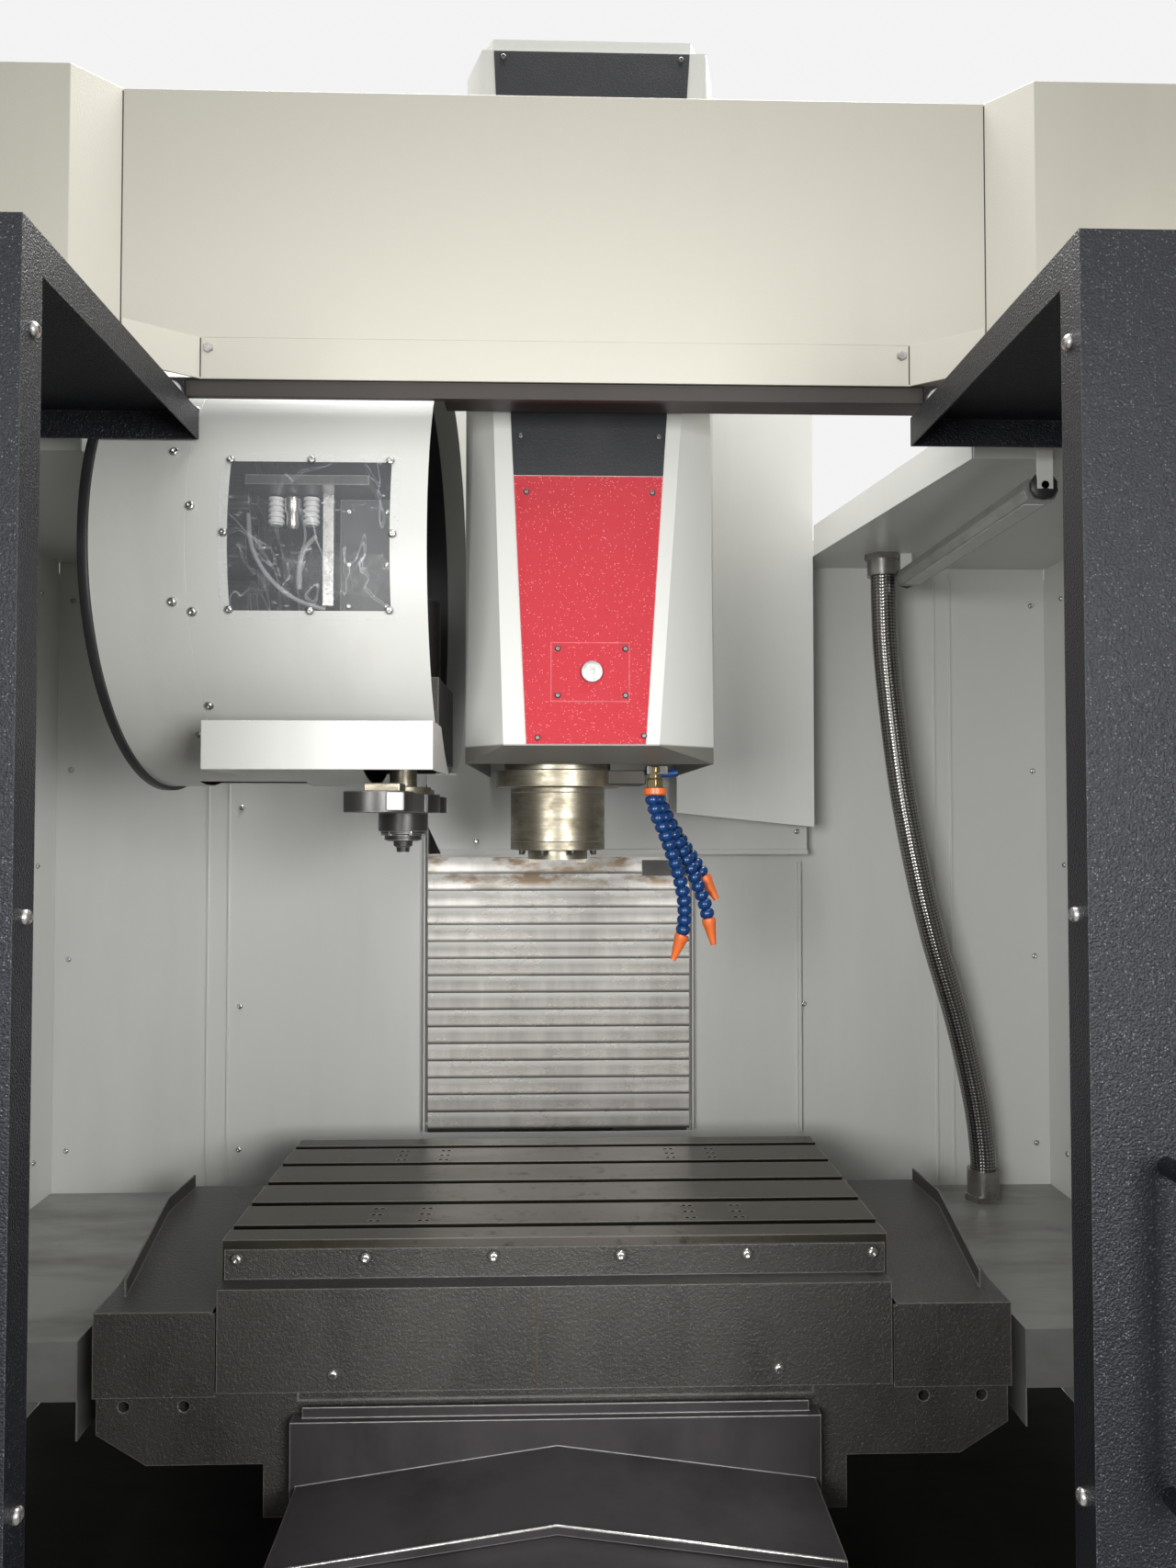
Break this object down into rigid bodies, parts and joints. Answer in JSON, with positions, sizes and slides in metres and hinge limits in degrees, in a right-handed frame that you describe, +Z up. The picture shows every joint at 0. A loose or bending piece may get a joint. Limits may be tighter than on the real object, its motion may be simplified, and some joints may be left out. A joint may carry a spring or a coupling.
{
  "type": "vertical machining center",
  "caption": "Vertical machining center with a T-slot table on two axes, a vertical spindle head, an arm tool changer and sliding front doors.",
  "frame": {"origin": "the spindle's axis at the height of the floor", "axes": "+X to the operator's right, +Y to the rear, +Z up along the spindle"},
  "size_m": [2.392, 2.5457, 2.69],
  "materials": {
    "cast_paint": "textured dark grey paint over cast iron",
    "machined_steel": "ground and oily",
    "stainless": "brushed, with wear streaks",
    "worn_steel": "dark worn sheet",
    "light_grey_paint": "satin powder coat",
    "cream_paint": "fine textured powder coat",
    "white_paint": "fine textured powder coat",
    "soffit_steel": "brown grey sheet",
    "braided_steel": "braided",
    "grey_plastic": "moulded",
    "black_paint": "satin",
    "red_plastic": "moulded",
    "black_plastic": "moulded",
    "lamp_glass": "frosted",
    "clear_film": "clear sheet",
    "dark_steel": "blackened steel",
    "red_paint": "textured",
    "blue_plastic": "ball jointed links",
    "door_paint": "sparkle textured powder coat"
  },
  "bodies": {
    "machine_base": {"bed": "cast_paint", "column": "cast_paint", "levelling_feet": "machined_steel", "axis_drives": "machined_steel", "chip_trays": "stainless", "back_wall": "light_grey_paint", "side_left": "light_grey_paint", "side_right": "light_grey_paint", "upper_housing": "cream_paint", "header_band": "cream_paint", "door_rails": "soffit_steel", "front_panels": "cream_paint", "roof_panels": "light_grey_paint", "hose_fittings": "machined_steel", "cable_conduit": "braided_steel", "electrical_cabinet": "light_grey_paint", "cabinet_gear": "grey_plastic", "pendant_arm": "cream_paint", "magazine_frame": "cast_paint", "magazine_cover": "white_paint", "magazine_end_cover": "white_paint", "magazine_window": "clear_film", "changer_cover": "white_paint", "cam_box": "cast_paint", "y_cover_base": "worn_steel", "z_cover_base": "stainless"},
    "cabinet_door": {"cabinet_door": "light_grey_paint"},
    "pendant": {"pendant_box": "cream_paint", "pendant_face": "black_paint"},
    "emergency_button": {"emergency_button": "red_plastic"},
    "handwheel": {"handwheel": "black_plastic"},
    "coolant_tank": {"coolant_tank": "light_grey_paint"},
    "work_lamp": {"work_lamp": "lamp_glass"},
    "magazine_disc": {"magazine_disc": "machined_steel"},
    "change_pot": {"change_pot": "grey_plastic"},
    "arm_lift": {"arm_shaft": "machined_steel"},
    "changer_arm": {"changer_arm": "dark_steel"},
    "saddle": {"saddle": "cast_paint", "x_drive": "machined_steel", "x_covers": "worn_steel", "y_cover_front": "worn_steel"},
    "y_cover_mid_a": {"y_cover_mid_a": "worn_steel"},
    "y_cover_mid_b": {"y_cover_mid_b": "worn_steel"},
    "table": {"table": "machined_steel", "table_apron": "cast_paint"},
    "head": {"head_casting": "cast_paint", "head_cover": "white_paint", "head_red_panel": "red_paint", "head_black_panel": "black_paint", "spindle_motor": "black_paint", "spindle_cartridge": "machined_steel", "head_apron": "light_grey_paint", "coolant_lines": "blue_plastic", "z_cover_top": "stainless"},
    "spindle": {"spindle_shaft": "machined_steel"},
    "z_cover_high": {"z_cover_high": "stainless"},
    "z_cover_mid": {"z_cover_mid": "stainless"},
    "z_cover_low": {"z_cover_low": "stainless"},
    "door_left": {"door_left": "door_paint"},
    "door_right": {"door_right": "door_paint"}
  },
  "joints": [
    {"name": "y_axis", "type": "slide", "parent": "machine_base", "child": "saddle", "axis": [0, 1, 0], "range_m": [-0.365, 0.055]},
    {"name": "x_axis", "type": "slide", "parent": "saddle", "child": "table", "axis": [1, 0, 0], "range_m": [-0.4, 0.4]},
    {"name": "z_axis", "type": "slide", "parent": "machine_base", "child": "head", "axis": [0, 0, 1], "range_m": [-0.4, 0.107]},
    {"name": "y_cover_a_slide", "type": "slide", "parent": "machine_base", "child": "y_cover_mid_a", "axis": [0, 1, 0], "range_m": [-0.2434, 0.0367]},
    {"name": "y_cover_b_slide", "type": "slide", "parent": "machine_base", "child": "y_cover_mid_b", "axis": [0, 1, 0], "range_m": [-0.1217, 0.0184]},
    {"name": "z_cover_high_slide", "type": "slide", "parent": "machine_base", "child": "z_cover_high", "axis": [0, 0, 1], "range_m": [-0.3001, 0.0803]},
    {"name": "z_cover_mid_slide", "type": "slide", "parent": "machine_base", "child": "z_cover_mid", "axis": [0, 0, 1], "range_m": [-0.2001, 0.0536]},
    {"name": "z_cover_low_slide", "type": "slide", "parent": "machine_base", "child": "z_cover_low", "axis": [0, 0, 1], "range_m": [-0.1001, 0.0268]},
    {"name": "spindle_spin", "type": "hinge", "parent": "head", "child": "spindle", "pos_m": [0, 0, 1.6], "axis": [0, 0, 1], "continuous": true},
    {"name": "door_left_slide", "type": "slide", "parent": "machine_base", "child": "door_left", "axis": [1, 0, 0], "range_m": [0, 0.485]},
    {"name": "door_right_slide", "type": "slide", "parent": "machine_base", "child": "door_right", "axis": [-1, 0, 0], "range_m": [0, 0.485]},
    {"name": "magazine_spin", "type": "hinge", "parent": "machine_base", "child": "magazine_disc", "pos_m": [-0.436, 0.01, 1.882], "axis": [1, 0, 0], "continuous": true},
    {"name": "pot_tilt", "type": "hinge", "parent": "magazine_disc", "child": "change_pot", "pos_m": [-0.466, 0.01, 1.599], "axis": [0, -1, 0], "range_deg": [0, 90]},
    {"name": "arm_drop", "type": "slide", "parent": "machine_base", "child": "arm_lift", "axis": [0, 0, 1], "range_m": [-0.115, 0]},
    {"name": "arm_swing", "type": "hinge", "parent": "arm_lift", "child": "changer_arm", "pos_m": [-0.253, 0, 1.52], "axis": [0, 0, -1], "range_deg": [0, 50]},
    {"name": "cabinet_door_hinge", "type": "hinge", "parent": "machine_base", "child": "cabinet_door", "pos_m": [-0.606, 1.4254, 1.2], "axis": [0, 0, 1], "range_deg": [0, 110]},
    {"name": "pendant_swivel", "type": "hinge", "parent": "machine_base", "child": "pendant", "pos_m": [1, -1, 1.8], "axis": [0, 0, 1], "range_deg": [-35, 35]},
    {"name": "emergency_press", "type": "slide", "parent": "pendant", "child": "emergency_button", "axis": [0, 1, 0], "range_m": [0, 0.006], "stiffness_N_per_m": 800},
    {"name": "handwheel_turn", "type": "hinge", "parent": "pendant", "child": "handwheel", "pos_m": [0.88, -1.06, 1.2], "axis": [0, 1, 0], "continuous": true},
    {"name": "lamp_tilt", "type": "hinge", "parent": "machine_base", "child": "work_lamp", "pos_m": [0.713, 0.1, 1.988], "axis": [0, 1, 0], "range_deg": [-40, 40]},
    {"name": "tank_slide", "type": "slide", "parent": "machine_base", "child": "coolant_tank", "axis": [0, -1, 0], "range_m": [0, 0.6]}
  ],
  "couplings": [
    {"joint": "y_cover_a_slide", "follows": "y_axis", "ratio": 0.6667},
    {"joint": "y_cover_b_slide", "follows": "y_axis", "ratio": 0.3333},
    {"joint": "z_cover_high_slide", "follows": "z_axis", "ratio": 0.75},
    {"joint": "z_cover_mid_slide", "follows": "z_axis", "ratio": 0.5},
    {"joint": "z_cover_low_slide", "follows": "z_axis", "ratio": 0.25}
  ]
}
